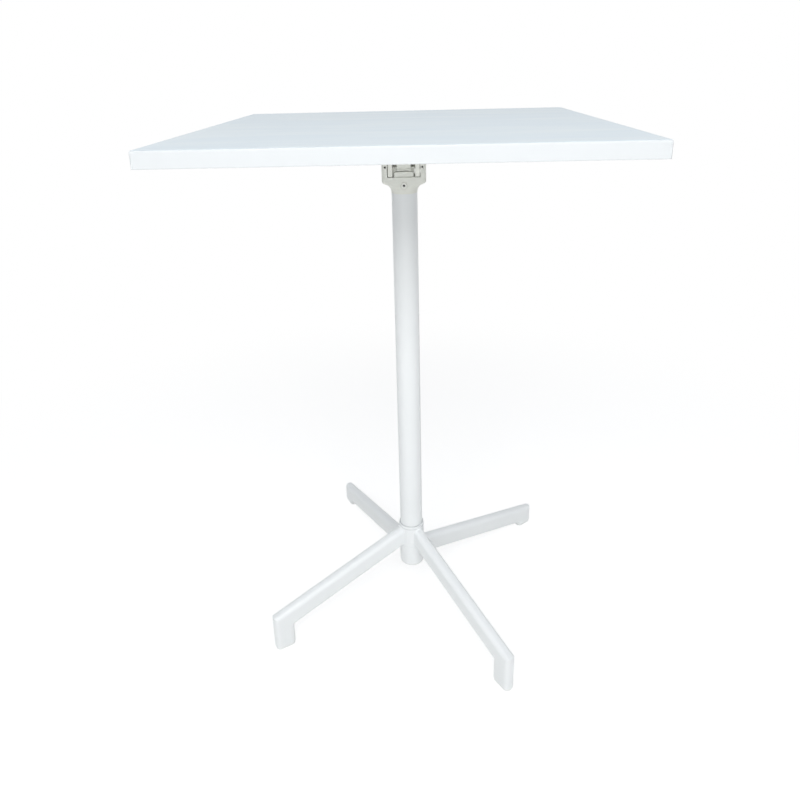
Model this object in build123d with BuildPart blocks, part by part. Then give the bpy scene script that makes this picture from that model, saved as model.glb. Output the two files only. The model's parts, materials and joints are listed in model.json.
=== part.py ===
from build123d import *
import math
import os

# Folding high table: a square steel top that tilts up on a cast head, one round column and
# a base of two leg pairs, each pair welded to its own sleeve on the foot of the column.
# Millimetres. +Z is up, the front is -Y, the origin is on the floor under the column.

# Overall sizes
table_height = 1040.0
top_width = 713.0
top_depth = 713.0

# Pressed top tray
rim_height = 25.0
top_sheet = 1.5
tray_corner_radius = 4.0
tray_bend_radius = 3.0
rim_lip = 14.0

# Stiffeners welded under the top, two rails across and two ribs from front to back
stiffener_sheet = 1.5
stiffener_bend_radius = 1.0
stiffener_flange = 12.0
rail_height = 20.0
rail_crown = 32.0
rail_spacing = 76.0
rib_height = 15.0
rib_crown = 28.0
rib_edge_distance = 120.0
rib_end_gap = 4.0
rail_end_gap = 4.0

# Tilt bracket under the rails, a plate with two ears
plate_width = 120.0
plate_depth = 104.0
plate_thickness = 4.0
plate_corner_radius = 10.0
ear_inner = 20.6
ear_thickness = 8.6
ear_front = -27.0
ear_radius = 17.7
ear_edge_radius = 1.2

# Tilt pivot, measured from the top surface and from the column axis
pivot_drop = 75.0
pivot_back = 8.0
pivot_pin_radius = 5.0
pivot_clearance = 0.05
bushing_wall = 2.0
bushing_clearance = 0.02
spacer_radius = 8.0
spacer_clearance = 0.1
spacer_end_gap = 0.2

# Stop pin, which rides in an arc slot of each ear
tilt_angle = 90.0
stop_pin_radius = 3.0
stop_orbit = 16.0
stop_start_angle = 45.0
stop_slot_clearance = 0.2

# Head casting: a cradle with two cheeks that flares out of a neck as round as the column
cheek_thickness = 10.3
cheek_gap = 1.0
head_half_depth = 28.0
head_edge_radius = 6.0
cheek_corner_radius = 4.0
cheek_arc_radius = 46.0
ear_floor_gap = 1.0
neck_drop = 31.3
neck_flare_radius = 17.0
neck_flare_angle = 68.0
shoulder_edge_radius = 6.0
ring_recess_radius = 8.6
ring_recess_depth = 3.0
stop_recess_radius = 5.6

# Set screws that lock the pivot pin, each deep in a hole that opens at the front of its cheek
lock_hole_radius = 2.1
lock_screw_length = 10.0
lock_screw_socket = 2.0
lock_screw_socket_depth = 2.5

# Small parts of the pivot
washer_thickness = 0.8
washer_radius = 10.0
pin_end_gap = 0.8
ring_thickness = 1.2
pivot_ring_width = 3.0
stop_ring_width = 2.2
ring_clearance = 0.02

# Rubber bumpers on the cheeks
bumper_height = 3.2
bumper_gap = 0.3
bumper_width = 7.0
bumper_length = 13.0
bumper_edge_radius = 1.2
bumper_front_margin = 4.5
bumper_stud_radius = 2.0
bumper_stud_length = 5.0

# Keeper on the cradle floor and the latch lever between the ears
keeper_half_width = 17.4
keeper_height = 10.3
keeper_side_height = 8.6
keeper_thickness = 4.0
keeper_foot_height = 1.6
keeper_foot_inset = 2.0
keeper_ledge = 1.0
keeper_ledge_height = 3.0
lever_half_width = 12.6
lever_thickness = 3.5
lever_front_gap = 0.5
lever_pin_radius = 2.5
lever_pin_back = 5.5
lever_pin_drop = 12.5
lever_hub_radius = 5.0
lever_top_gap = 0.3
lever_keeper_gap = 1.3
lever_notch_half_width = 7.5
lever_notch_height = 1.0
lever_lip_height = 3.6
lever_lip_reach = 3.0
lever_lip_edge_radius = 1.5
lever_corner_radius = 2.0
hook_half_width = 19.6
hook_thickness = 4.0
hook_keeper_gap = 4.0
hook_floor_gap = 3.2
hook_height = 14.5
hook_web_half_width = 9.0
hook_web_height = 4.0
lever_spacer_wall = 1.8
lever_spacer_end_gap = 0.15

# Leaf spring that holds the lever forward
leaf_thickness = 0.8
leaf_half_width = 5.0
leaf_bend_radius = 2.0
leaf_plate_reach = 8.0
leaf_plate_start = -8.0
leaf_knee_back = 7.0
leaf_knee_drop = 20.0
leaf_tip_drop = 31.0
leaf_tip_gap = 0.3
leaf_screw_back = 2.0
leaf_screw_radius = 2.0
leaf_screw_head_radius = 3.6
leaf_screw_head_height = 2.2

# Bracket screws and their weld nuts
bracket_screw_edge_distance = 15.0
bracket_screw_radius = 3.0
bracket_screw_clearance = 0.3
bracket_screw_head_radius = 5.5
bracket_screw_head_height = 3.3
bracket_screw_edge_radius = 1.2
bracket_nut_radius = 5.8
bracket_nut_height = 5.0
thread_clearance = 0.05

# Column and what joins it to the head
column_radius = 24.15
column_wall = 2.5
spigot_insert = 26.0
spigot_grip = 55.0
spigot_wall = 3.0
spigot_clearance = 0.1
spigot_end_gap = 0.4
head_screw_rise = 16.4
head_screw_radius = 3.0
head_screw_length = 14.0
head_screw_head_radius = 5.5
head_screw_head_height = 2.8
head_screw_dome_radius = 1.8
head_screw_socket = 4.6
head_screw_socket_depth = 4.4
head_screw_seat_radius = 6.4
head_screw_seat_depth = 1.4

# Hub: two sleeves stacked on the foot of the column, a collar above and a cap below
hub_bottom = 85.0
sleeve_height = 46.0
upper_sleeve_radius = 27.3
lower_sleeve_radius = 26.3
sleeve_clearance = 0.15
sleeve_edge = 0.5
collar_height = 6.0
collar_radius = 26.7
collar_edge_radius = 1.5
collar_groove = 1.4
column_end_gap = 1.0
cap_radius = 25.3
cap_thickness = 5.0
cap_edge_radius = 1.5
cap_plug_length = 12.0
cap_plug_clearance = 0.2
clamp_bolt_radius = 5.0
clamp_bolt_clearance = 0.3
clamp_head_radius = 8.0
clamp_head_height = 7.0
clamp_head_margin = 1.2
clamp_socket = 4.0
clamp_socket_depth = 4.5
clamp_recess_depth = 8.0
nut_plate_rise = 15.0
nut_plate_thickness = 8.0
clamp_bolt_overrun = 4.0

# Legs: flat steel tube, a sloping arm mitred to an upright post
leg_height = 42.5
leg_width = 23.0
leg_wall = 2.0
leg_corner_radius = 10.0
front_pair_angle = -90.0
rear_pair_angle = 90.0
base_turn_angle = -11.8
front_leg_half_angle = 46.5
rear_leg_half_angle = 39.35
front_leg_reach = 332.5
rear_leg_reach = 386.4
front_arm_slope_angle = 17.3
rear_arm_slope_angle = 13.3
front_arm_root = 161.6
rear_arm_root = 113.8
leg_start = 15.0

# Foot caps pushed into the posts
foot_height = 7.0
foot_groove_height = 1.2
foot_groove_inset = 3.0
foot_inset = 1.0
foot_edge_radius = 1.8
foot_plug_length = 12.0
foot_plug_clearance = 0.1

overrun = 5.0

# Heights and places worked out from the sizes above
rib_spacing = top_width - 2 * rib_edge_distance
bracket_screw_spacing = plate_width - 2 * bracket_screw_edge_distance
tray_underside = table_height - top_sheet
rim_bottom = table_height - rim_height
plate_top = tray_underside - rail_height
plate_bottom = plate_top - plate_thickness
pivot_height = table_height - pivot_drop
cradle_floor = pivot_height - ear_radius - ear_floor_gap
cheek_top = plate_bottom - bumper_gap - bumper_height
neck_bottom = cradle_floor - neck_drop
ear_outer = ear_inner + ear_thickness
cheek_inner = ear_outer + cheek_gap
cheek_outer = cheek_inner + cheek_thickness
column_bore = column_radius - column_wall
column_bottom = hub_bottom + column_end_gap
sleeve_bore = column_radius + sleeve_clearance
hub_middle = hub_bottom + sleeve_height
hub_top = hub_middle + sleeve_height
spigot_radius = column_bore - spigot_clearance
head_bore = spigot_radius + spigot_clearance
head_screw_height = neck_bottom + head_screw_rise
stop_angle = math.radians(stop_start_angle)
stop_back = pivot_back + stop_orbit * math.cos(stop_angle)
stop_height = pivot_height + stop_orbit * math.sin(stop_angle)
keeper_top = cradle_floor + keeper_height
lever_pin_back_place = ear_front + lever_pin_back
lever_pin_height = plate_bottom - lever_pin_drop
lever_front = ear_front + lever_front_gap
lever_back = lever_front + lever_thickness
lever_bottom = keeper_top + lever_keeper_gap
keeper_back = ear_front + keeper_thickness + keeper_ledge
hook_front = keeper_back + hook_keeper_gap

# Top tray
with BuildPart() as top_tray:
    with BuildSketch(Plane.XY.offset(rim_bottom)):
        RectangleRounded(top_width, top_depth, tray_corner_radius)
    extrude(amount=rim_height)
    fillet(top_tray.faces().sort_by(Axis.Z)[-1].edges(), tray_bend_radius)
    with BuildSketch(Plane.XY.offset(rim_bottom + top_sheet)):
        RectangleRounded(
            top_width - 2 * top_sheet, top_depth - 2 * top_sheet, tray_corner_radius - top_sheet
        )
    extrude(amount=rim_height - 2 * top_sheet, mode=Mode.SUBTRACT)
    with BuildSketch(Plane.XY.offset(rim_bottom)):
        Rectangle(top_width - 2 * rim_lip, top_depth - 2 * rim_lip)
    extrude(amount=top_sheet, mode=Mode.SUBTRACT)
top_tray.part.label = "top_tray"


def hat_section(middle_plane, length, crown, height):
    """Pressed hat channel, its flanges against the plane's origin line and its crown below."""
    with BuildPart() as channel:
        with BuildSketch(middle_plane):
            with BuildLine():
                half_crown = crown / 2
                half_span = half_crown + stiffener_flange
                inner_depth = height - stiffener_sheet
                FilletPolyline(
                    (-half_span, 0),
                    (-half_crown, 0),
                    (-half_crown, -inner_depth),
                    (half_crown, -inner_depth),
                    (half_crown, 0),
                    (half_span, 0),
                    radius=stiffener_bend_radius,
                )
                offset(amount=stiffener_sheet, side=Side.RIGHT)
            make_face()
        extrude(amount=length / 2, both=True)
    return channel.part


# Rails and ribs under the top
rail_length = rib_spacing - rib_crown - 2 * (stiffener_sheet + stiffener_flange + rail_end_gap)
rib_length = top_depth - 2 * (top_sheet + rib_end_gap)
stiffeners = []
for label, side in (("front_rail", -1), ("rear_rail", 1)):
    middle = Plane(
        origin=(0, side * rail_spacing / 2, tray_underside), x_dir=(0, 1, 0), z_dir=(1, 0, 0)
    )
    rail = hat_section(middle, rail_length, rail_crown, rail_height)
    with BuildPart() as drilled_rail:
        add(rail)
        with BuildSketch(Plane.XY.offset(plate_top)):
            with Locations((0, side * rail_spacing / 2)):
                with GridLocations(bracket_screw_spacing, 0, 2, 1):
                    Circle(bracket_screw_radius + bracket_screw_clearance)
        extrude(amount=stiffener_sheet, mode=Mode.SUBTRACT)
    drilled_rail.part.label = label
    stiffeners.append(drilled_rail.part)
for label, side in (("left_rib", -1), ("right_rib", 1)):
    middle = Plane(
        origin=(side * rib_spacing / 2, 0, tray_underside), x_dir=(-1, 0, 0), z_dir=(0, 1, 0)
    )
    rib = hat_section(middle, rib_length, rib_crown, rib_height)
    rib.label = label
    stiffeners.append(rib)

# Tilt bracket
with BuildPart() as tilt_bracket:
    with BuildSketch(Plane.YZ.offset(ear_inner)):
        with BuildLine():
            Line((ear_front, plate_bottom), (ear_front, pivot_height - ear_radius))
            Line((ear_front, pivot_height - ear_radius), (pivot_back, pivot_height - ear_radius))
            JernArc((pivot_back, pivot_height - ear_radius), (1, 0), ear_radius, 90)
            Line((pivot_back + ear_radius, pivot_height), (pivot_back + ear_radius, plate_bottom))
            Line((pivot_back + ear_radius, plate_bottom), (ear_front, plate_bottom))
        make_face()
    extrude(amount=ear_thickness)
    ear_sides = tilt_bracket.faces().filter_by(Axis.X).edges().sort_by(Axis.Z)
    fillet(ear_sides[:-2], ear_edge_radius)
    with BuildSketch(Plane.YZ.offset(ear_inner)) as ear_holes:
        with Locations((pivot_back, pivot_height)):
            Circle(pivot_pin_radius + bushing_wall)
        with BuildLine():
            CenterArc((pivot_back, pivot_height), stop_orbit, stop_start_angle, tilt_angle)
            offset(amount=stop_pin_radius + stop_slot_clearance)
        make_face()
        with Locations((lever_pin_back_place, lever_pin_height)):
            Circle(lever_pin_radius)
    extrude(amount=ear_thickness, mode=Mode.SUBTRACT)
    mirror(about=Plane.YZ)
    with BuildSketch(Plane.XY.offset(plate_bottom)):
        RectangleRounded(plate_width, plate_depth, plate_corner_radius)
        with GridLocations(bracket_screw_spacing, rail_spacing, 2, 2):
            Circle(bracket_screw_radius + bracket_screw_clearance, mode=Mode.SUBTRACT)
        with Locations((0, leaf_screw_back)):
            Circle(leaf_screw_radius, mode=Mode.SUBTRACT)
    extrude(amount=plate_thickness)
tilt_bracket.part.label = "tilt_bracket"

# Screws that hold the bracket to the rails
with BuildPart() as bracket_screws:
    with BuildSketch(Plane.XY.offset(plate_bottom)):
        with GridLocations(bracket_screw_spacing, rail_spacing, 2, 2):
            Circle(bracket_screw_head_radius)
    extrude(amount=-bracket_screw_head_height)
    fillet(bracket_screws.faces().group_by(Axis.Z)[0].edges(), bracket_screw_edge_radius)
    with BuildSketch(Plane.XY.offset(plate_bottom)):
        with GridLocations(bracket_screw_spacing, rail_spacing, 2, 2):
            Circle(bracket_screw_radius)
    extrude(amount=plate_thickness + stiffener_sheet + bracket_nut_height)
bracket_screws.part.label = "bracket_screws"

with BuildPart() as bracket_nuts:
    with BuildSketch(Plane.XY.offset(plate_top + stiffener_sheet)):
        with GridLocations(bracket_screw_spacing, rail_spacing, 2, 2):
            RegularPolygon(bracket_nut_radius, 6)
            Circle(bracket_screw_radius + thread_clearance, mode=Mode.SUBTRACT)
    extrude(amount=bracket_nut_height)
bracket_nuts.part.label = "bracket_nuts"

# Bushings in the ears, a spacer tube between them and washers outside them
with BuildPart() as ear_bushings:
    with BuildSketch(Plane.YZ.offset(ear_inner)):
        with Locations((pivot_back, pivot_height)):
            Circle(pivot_pin_radius + bushing_wall - bushing_clearance)
            Circle(pivot_pin_radius + pivot_clearance, mode=Mode.SUBTRACT)
    extrude(amount=ear_thickness)
    mirror(about=Plane.YZ)
ear_bushings.part.label = "ear_bushings"

with BuildPart() as pivot_spacer:
    with BuildSketch(Plane.YZ):
        with Locations((pivot_back, pivot_height)):
            Circle(spacer_radius)
            Circle(pivot_pin_radius + spacer_clearance, mode=Mode.SUBTRACT)
    extrude(amount=ear_inner - spacer_end_gap, both=True)
pivot_spacer.part.label = "pivot_spacer"

with BuildPart() as pivot_washers:
    with BuildSketch(Plane.YZ.offset(ear_outer + (cheek_gap - washer_thickness) / 2)):
        with Locations((pivot_back, pivot_height)):
            Circle(washer_radius)
            Circle(pivot_pin_radius + spacer_clearance, mode=Mode.SUBTRACT)
    extrude(amount=washer_thickness)
    mirror(about=Plane.YZ)
pivot_washers.part.label = "pivot_washers"

# Keeper that the lever's hook stands behind, cast in one with the head
with BuildPart() as keeper:
    with BuildSketch(Plane.YZ):
        with BuildLine():
            Polyline(
                (ear_front + keeper_foot_inset, cradle_floor),
                (ear_front + keeper_foot_inset, cradle_floor + keeper_foot_height),
                (ear_front, cradle_floor + keeper_foot_height),
                (ear_front, keeper_top),
                (keeper_back, keeper_top),
                (keeper_back, keeper_top - keeper_ledge_height),
                (keeper_back - keeper_ledge, keeper_top - keeper_ledge_height - keeper_ledge),
                (keeper_back - keeper_ledge, cradle_floor),
                close=True,
            )
        make_face()
    extrude(amount=keeper_half_width, both=True)
    with BuildSketch(Plane.XZ):
        with BuildLine():
            keeper_side = cradle_floor + keeper_side_height
            Polyline(
                (-keeper_half_width, keeper_side),
                (-keeper_half_width, cradle_floor),
                (keeper_half_width, cradle_floor),
                (keeper_half_width, keeper_side),
            )
            ThreePointArc(
                (keeper_half_width, keeper_side), (0, keeper_top), (-keeper_half_width, keeper_side)
            )
        make_face()
    extrude(amount=head_half_depth, both=True, mode=Mode.INTERSECT)

lock_place = cheek_inner + (cheek_thickness - ring_recess_depth) / 2
lock_plane = Plane(
    origin=(0, -head_half_depth, pivot_height), x_dir=(1, 0, 0), z_dir=(0, -1, 0)
)
with BuildPart() as head_casting:
    with BuildSketch(Plane.XZ):
        with BuildLine():
            flare = JernArc((column_radius, neck_bottom), (0, 1), neck_flare_radius, -neck_flare_angle)
            blank_radius = cheek_outer + head_half_depth
            slope_run = blank_radius - (flare @ 1).X
            slope_rise = slope_run / math.tan(math.radians(neck_flare_angle))
            Polyline(
                flare @ 1,
                (blank_radius, (flare @ 1).Y + slope_rise),
                (blank_radius, cheek_top),
                (0, cheek_top),
                (0, neck_bottom),
                (column_radius, neck_bottom),
            )
        make_face()
    revolve(axis=Axis.Z)
    with BuildSketch(Plane.XY.offset(neck_bottom)):
        RectangleRounded(2 * cheek_outer, 2 * head_half_depth, head_edge_radius)
    extrude(amount=cheek_top - neck_bottom, mode=Mode.INTERSECT)
    shoulder_rim = [
        edge
        for edge in head_casting.edges()
        if edge.geom_type in (GeomType.HYPERBOLA, GeomType.BSPLINE)
    ]
    fillet(shoulder_rim, shoulder_edge_radius)
    with BuildSketch(Plane.XY.offset(cradle_floor)):
        Rectangle(2 * cheek_inner, 2 * head_half_depth)
    extrude(amount=cheek_top - cradle_floor, mode=Mode.SUBTRACT)
    with BuildSketch(Plane.YZ):
        with Locations((pivot_back, pivot_height)):
            Rectangle(
                head_half_depth + overrun,
                cheek_top - pivot_height + overrun,
                align=(Align.MIN, Align.MIN),
            )
            Circle(cheek_arc_radius, mode=Mode.SUBTRACT)
    extrude(amount=cheek_outer + overrun, both=True, mode=Mode.SUBTRACT)
    cheek_corners = head_casting.edges().filter_by(Axis.X).group_by(Axis.Z)[-1].sort_by(Axis.Y)
    fillet(cheek_corners[:2], cheek_corner_radius)
    add(keeper.part)
    with BuildSketch(Plane.XY.offset(neck_bottom)):
        Circle(head_bore)
    extrude(amount=spigot_insert + spigot_end_gap, mode=Mode.SUBTRACT)
    with BuildSketch(Plane.YZ):
        with Locations((pivot_back, pivot_height)):
            Circle(pivot_pin_radius)
        with Locations((stop_back, stop_height)):
            Circle(stop_pin_radius)
    extrude(amount=cheek_outer + overrun, both=True, mode=Mode.SUBTRACT)
    with BuildSketch(lock_plane):
        with GridLocations(2 * lock_place, 0, 2, 1):
            Circle(lock_hole_radius)
    extrude(amount=-head_half_depth - pivot_back, mode=Mode.SUBTRACT)
    for side in (-1, 1):
        with BuildSketch(Plane.YZ.offset(side * (cheek_outer - ring_recess_depth))):
            with Locations((pivot_back, pivot_height)):
                Circle(ring_recess_radius)
            with Locations((stop_back, stop_height)):
                Circle(stop_recess_radius)
        extrude(amount=side * (ring_recess_depth + overrun), mode=Mode.SUBTRACT)
    screw_seat = Plane(
        origin=(0, -head_half_depth, head_screw_height), x_dir=(1, 0, 0), z_dir=(0, -1, 0)
    )
    with BuildSketch(screw_seat.offset(overrun)):
        Circle(head_screw_seat_radius)
    extrude(amount=-overrun - head_screw_seat_depth, mode=Mode.SUBTRACT)
    with BuildSketch(screw_seat):
        Circle(head_screw_radius)
    extrude(amount=-head_half_depth, mode=Mode.SUBTRACT)
    bumper_middle = -head_half_depth + bumper_front_margin + bumper_length / 2
    with BuildSketch(Plane.XY.offset(cheek_top)):
        with Locations((0, bumper_middle)):
            with GridLocations(2 * cheek_inner + cheek_thickness, 0, 2, 1):
                Circle(bumper_stud_radius)
    extrude(amount=-bumper_stud_length, mode=Mode.SUBTRACT)
head_casting.part.label = "head_casting"

# Bumpers that carry the front of the top on the cheeks
with BuildPart() as cheek_bumpers:
    with BuildSketch(Plane.XY.offset(cheek_top)):
        with Locations((0, bumper_middle)):
            with GridLocations(2 * cheek_inner + cheek_thickness, 0, 2, 1):
                RectangleRounded(bumper_width, bumper_length, bumper_width / 2 - thread_clearance)
    extrude(amount=bumper_height)
    fillet(cheek_bumpers.faces().group_by(Axis.Z)[-1].edges(), bumper_edge_radius)
    with BuildSketch(Plane.XY.offset(cheek_top)):
        with Locations((0, bumper_middle)):
            with GridLocations(2 * cheek_inner + cheek_thickness, 0, 2, 1):
                Circle(bumper_stud_radius)
    extrude(amount=-bumper_stud_length)
cheek_bumpers.part.label = "cheek_bumpers"

# Pivot pin and stop pin, both fixed in the cheeks, and their push-on rings
pin_half_length = cheek_outer - pin_end_gap
with BuildPart() as pivot_pin:
    with BuildSketch(Plane.YZ):
        with Locations((pivot_back, pivot_height)):
            Circle(pivot_pin_radius)
    extrude(amount=pin_half_length, both=True)
    chamfer(pivot_pin.edges().filter_by(GeomType.CIRCLE), pin_end_gap)
pivot_pin.part.label = "pivot_pin"

with BuildPart() as stop_pin:
    with BuildSketch(Plane.YZ):
        with Locations((stop_back, stop_height)):
            Circle(stop_pin_radius)
    extrude(amount=pin_half_length, both=True)
    chamfer(stop_pin.edges().filter_by(GeomType.CIRCLE), pin_end_gap)
stop_pin.part.label = "stop_pin"

lock_screw_tip = lock_plane.offset(pivot_pin_radius - head_half_depth - pivot_back)
with BuildPart() as pin_lock_screws:
    with BuildSketch(lock_screw_tip):
        with GridLocations(2 * lock_place, 0, 2, 1):
            Circle(lock_hole_radius - thread_clearance)
    extrude(amount=lock_screw_length)
    with BuildSketch(lock_screw_tip.offset(lock_screw_length)):
        with GridLocations(2 * lock_place, 0, 2, 1):
            RegularPolygon(lock_screw_socket / 2, 6, major_radius=False)
    extrude(amount=-lock_screw_socket_depth, mode=Mode.SUBTRACT)
pin_lock_screws.part.label = "pin_lock_screws"

with BuildPart() as pin_rings:
    with BuildSketch(Plane.YZ.offset(cheek_outer - ring_recess_depth)):
        with Locations((pivot_back, pivot_height)):
            Circle(pivot_pin_radius + pivot_ring_width)
            Circle(pivot_pin_radius + ring_clearance, mode=Mode.SUBTRACT)
        with Locations((stop_back, stop_height)):
            Circle(stop_pin_radius + stop_ring_width)
            Circle(stop_pin_radius + ring_clearance, mode=Mode.SUBTRACT)
    extrude(amount=ring_thickness)
    mirror(about=Plane.YZ)
pin_rings.part.label = "pin_rings"

# Latch lever: a plate that hangs from its pin, with a finger lip and a wide hook behind it
lever_top = plate_bottom - lever_top_gap
with BuildPart() as latch_lever:
    with BuildSketch(Plane.YZ) as lever_side:
        with Locations((lever_front - lever_lip_reach, lever_bottom)):
            Rectangle(
                lever_lip_reach + lever_thickness, lever_lip_height, align=(Align.MIN, Align.MIN)
            )
        fillet(lever_side.vertices().group_by(Axis.X)[0], lever_lip_edge_radius)
        with Locations((lever_front, lever_bottom)):
            Rectangle(lever_thickness, lever_top - lever_bottom, align=(Align.MIN, Align.MIN))
        with Locations((lever_pin_back_place, lever_pin_height)):
            Circle(lever_hub_radius)
    extrude(amount=lever_half_width, both=True)
    with BuildSketch(Plane.XZ) as lever_outline:
        with Locations((0, lever_bottom)):
            Rectangle(
                2 * lever_half_width, lever_top - lever_bottom, align=(Align.CENTER, Align.MIN)
            )
        fillet(lever_outline.vertices().group_by(Axis.Y)[0], lever_corner_radius)
        with Locations((0, lever_bottom)):
            Rectangle(2 * lever_notch_half_width, 2 * lever_notch_height, mode=Mode.SUBTRACT)
    extrude(amount=head_half_depth + overrun, both=True, mode=Mode.INTERSECT)
    hook_bottom = cradle_floor + hook_floor_gap
    with BuildSketch(Plane.YZ):
        with Locations((hook_front, hook_bottom)):
            Rectangle(hook_thickness, hook_height, align=(Align.MIN, Align.MIN))
    extrude(amount=hook_half_width, both=True)
    with BuildSketch(Plane.YZ):
        with Locations((lever_back, hook_bottom + hook_height)):
            Rectangle(hook_front - lever_back, hook_web_height, align=(Align.MIN, Align.MAX))
    extrude(amount=hook_web_half_width, both=True)
    with BuildSketch(Plane.YZ):
        with Locations((lever_pin_back_place, lever_pin_height)):
            Circle(lever_pin_radius + pivot_clearance)
    extrude(amount=lever_half_width, both=True, mode=Mode.SUBTRACT)
latch_lever.part.label = "latch_lever"

with BuildPart() as lever_pin:
    with BuildSketch(Plane.YZ):
        with Locations((lever_pin_back_place, lever_pin_height)):
            Circle(lever_pin_radius)
    extrude(amount=ear_outer, both=True)
lever_pin.part.label = "lever_pin"

with BuildPart() as lever_spacers:
    with BuildSketch(Plane.YZ.offset(lever_half_width + lever_spacer_end_gap)):
        with Locations((lever_pin_back_place, lever_pin_height)):
            Circle(lever_pin_radius + lever_spacer_wall)
            Circle(lever_pin_radius + pivot_clearance, mode=Mode.SUBTRACT)
    extrude(amount=ear_inner - lever_half_width - 2 * lever_spacer_end_gap)
    mirror(about=Plane.YZ)
lever_spacers.part.label = "lever_spacers"

# Leaf spring under the bracket plate, its tip behind the lever
with BuildPart() as lever_spring:
    with BuildSketch(Plane.YZ):
        with BuildLine():
            FilletPolyline(
                (leaf_plate_reach, plate_bottom),
                (leaf_plate_start, plate_bottom),
                (lever_back + leaf_knee_back, plate_bottom - leaf_knee_drop),
                (lever_back + leaf_tip_gap, plate_bottom - leaf_tip_drop),
                radius=leaf_bend_radius,
            )
            offset(amount=leaf_thickness, side=Side.LEFT)
        make_face()
    extrude(amount=leaf_half_width, both=True)
    with BuildSketch(Plane.XY.offset(plate_bottom)):
        with Locations((0, leaf_screw_back)):
            Circle(leaf_screw_radius)
    extrude(amount=-leaf_thickness, mode=Mode.SUBTRACT)
lever_spring.part.label = "lever_spring"

with BuildPart() as spring_screw:
    with BuildSketch(Plane.XY.offset(plate_bottom - leaf_thickness)):
        with Locations((0, leaf_screw_back)):
            Circle(leaf_screw_head_radius)
    extrude(amount=-leaf_screw_head_height)
    fillet(spring_screw.faces().sort_by(Axis.Z)[0].edges(), leaf_screw_head_height / 2)
    with BuildSketch(Plane.XY.offset(plate_bottom - leaf_thickness)):
        with Locations((0, leaf_screw_back)):
            Circle(leaf_screw_radius)
    extrude(amount=leaf_thickness + plate_thickness)
spring_screw.part.label = "spring_screw"

# Column, the spigot tube in its top and the screw that holds the head on it
with BuildPart() as column_tube:
    with BuildSketch(Plane.XY.offset(column_bottom)):
        Circle(column_radius)
        Circle(column_bore, mode=Mode.SUBTRACT)
    extrude(amount=neck_bottom - column_bottom)
column_tube.part.label = "column_tube"

with BuildPart() as column_spigot:
    with BuildSketch(Plane.XY.offset(neck_bottom - spigot_grip)):
        Circle(spigot_radius)
        Circle(spigot_radius - spigot_wall, mode=Mode.SUBTRACT)
    extrude(amount=spigot_grip + spigot_insert)
    with BuildSketch(screw_seat):
        Circle(head_screw_radius)
    extrude(amount=-head_half_depth, mode=Mode.SUBTRACT)
column_spigot.part.label = "column_spigot"

head_screw_face = screw_seat.offset(-head_screw_seat_depth)
with BuildPart() as head_screw:
    with BuildSketch(head_screw_face):
        Circle(head_screw_head_radius)
    extrude(amount=head_screw_head_height)
    fillet(head_screw.faces().sort_by(Axis.Y)[0].edges(), head_screw_dome_radius)
    with BuildSketch(head_screw_face):
        Circle(head_screw_radius)
    extrude(amount=-head_screw_length)
    with BuildSketch(head_screw_face.offset(head_screw_head_height)):
        RegularPolygon(head_screw_socket / 2, 6)
    extrude(amount=-head_screw_socket_depth, mode=Mode.SUBTRACT)
head_screw.part.label = "head_screw"


def ring_piece(bottom, height, outer, bore, edge):
    """Short tube on the column axis with its outer edges broken."""
    with BuildPart() as ring:
        with BuildSketch(Plane.XY.offset(bottom)):
            Circle(outer)
        extrude(amount=height)
        chamfer(ring.edges().filter_by(GeomType.CIRCLE), edge)
        with BuildSketch(Plane.XY.offset(bottom)):
            Circle(bore)
        extrude(amount=height, mode=Mode.SUBTRACT)
    return ring.part


# Hub
lower_leg_sleeve = ring_piece(
    hub_bottom, sleeve_height, lower_sleeve_radius, sleeve_bore, sleeve_edge
)
lower_leg_sleeve.label = "lower_leg_sleeve"
upper_leg_sleeve = ring_piece(
    hub_middle, sleeve_height, upper_sleeve_radius, sleeve_bore, sleeve_edge
)
upper_leg_sleeve.label = "upper_leg_sleeve"

with BuildPart() as column_collar:
    with BuildSketch(Plane.XY.offset(hub_top)):
        Circle(collar_radius)
        Circle(column_radius, mode=Mode.SUBTRACT)
    extrude(amount=collar_height)
    collar_rims = column_collar.faces().sort_by(Axis.Z)[-1].edges().sort_by(SortBy.RADIUS)
    fillet(collar_rims[-1], collar_edge_radius)
    collar_rims = column_collar.faces().sort_by(Axis.Z)[-1].edges().sort_by(SortBy.RADIUS)
    chamfer(collar_rims[0], collar_groove / 2, collar_groove)
column_collar.part.label = "column_collar"

cap_bottom = hub_bottom - cap_thickness
with BuildPart() as base_cap:
    with BuildSketch(Plane.XY.offset(cap_bottom)):
        Circle(cap_radius)
    extrude(amount=cap_thickness)
    fillet(base_cap.faces().sort_by(Axis.Z)[0].edges(), cap_edge_radius)
    with BuildSketch(Plane.XY.offset(hub_bottom)):
        Circle(column_bore - cap_plug_clearance)
    extrude(amount=cap_plug_length)
    with BuildSketch(Plane.XY.offset(cap_bottom)):
        Circle(clamp_head_radius + clamp_head_margin)
    extrude(amount=clamp_recess_depth, mode=Mode.SUBTRACT)
    with BuildSketch(Plane.XY.offset(cap_bottom)):
        Circle(clamp_bolt_radius + clamp_bolt_clearance)
    extrude(amount=cap_thickness + cap_plug_length, mode=Mode.SUBTRACT)
base_cap.part.label = "base_cap"

nut_plate_bottom = hub_bottom + nut_plate_rise
with BuildPart() as clamp_nut_plate:
    with BuildSketch(Plane.XY.offset(nut_plate_bottom)):
        Circle(column_bore)
        Circle(clamp_bolt_radius + thread_clearance, mode=Mode.SUBTRACT)
    extrude(amount=nut_plate_thickness)
clamp_nut_plate.part.label = "clamp_nut_plate"

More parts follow.
